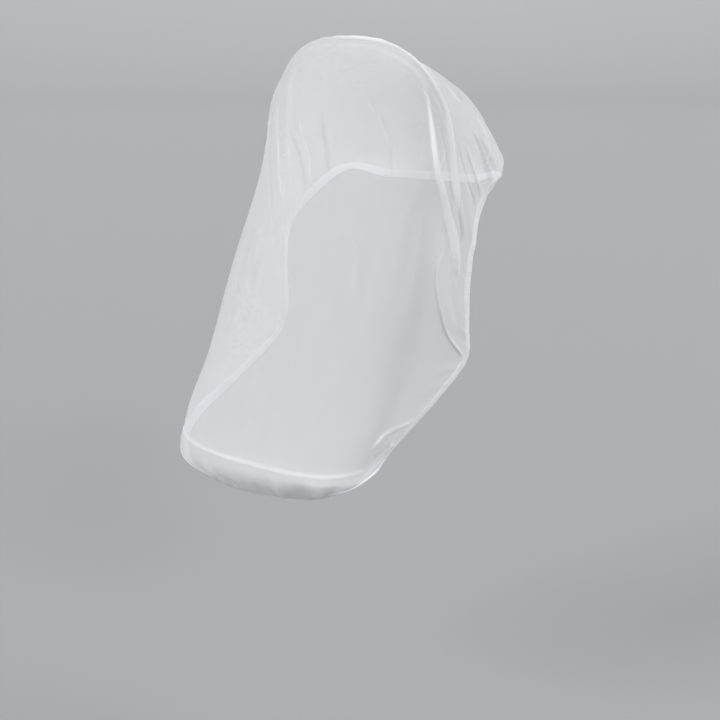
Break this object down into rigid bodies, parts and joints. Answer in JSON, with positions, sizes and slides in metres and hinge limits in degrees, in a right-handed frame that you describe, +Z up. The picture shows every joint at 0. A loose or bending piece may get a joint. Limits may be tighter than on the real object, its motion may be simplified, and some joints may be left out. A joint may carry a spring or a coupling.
{
  "type": "stroller mosquito net",
  "caption": "Fitted stroller mosquito net of fine sheer netting with an elastic hem all round, draped over hood, front and foot end, open behind and below.",
  "frame": {"origin": "under the top of the net at its middle, where a stroller hood's front hoop carries it", "axes": "+Z up, -Y to the front of the net, +X to the left of someone sitting under it"},
  "size_m": [0.4548, 0.566, 0.7823],
  "materials": {
    "netting": "fine white knitted netting, sheer, matte"
  },
  "bodies": {
    "root": {"net": "netting"}
  },
  "joints": []
}
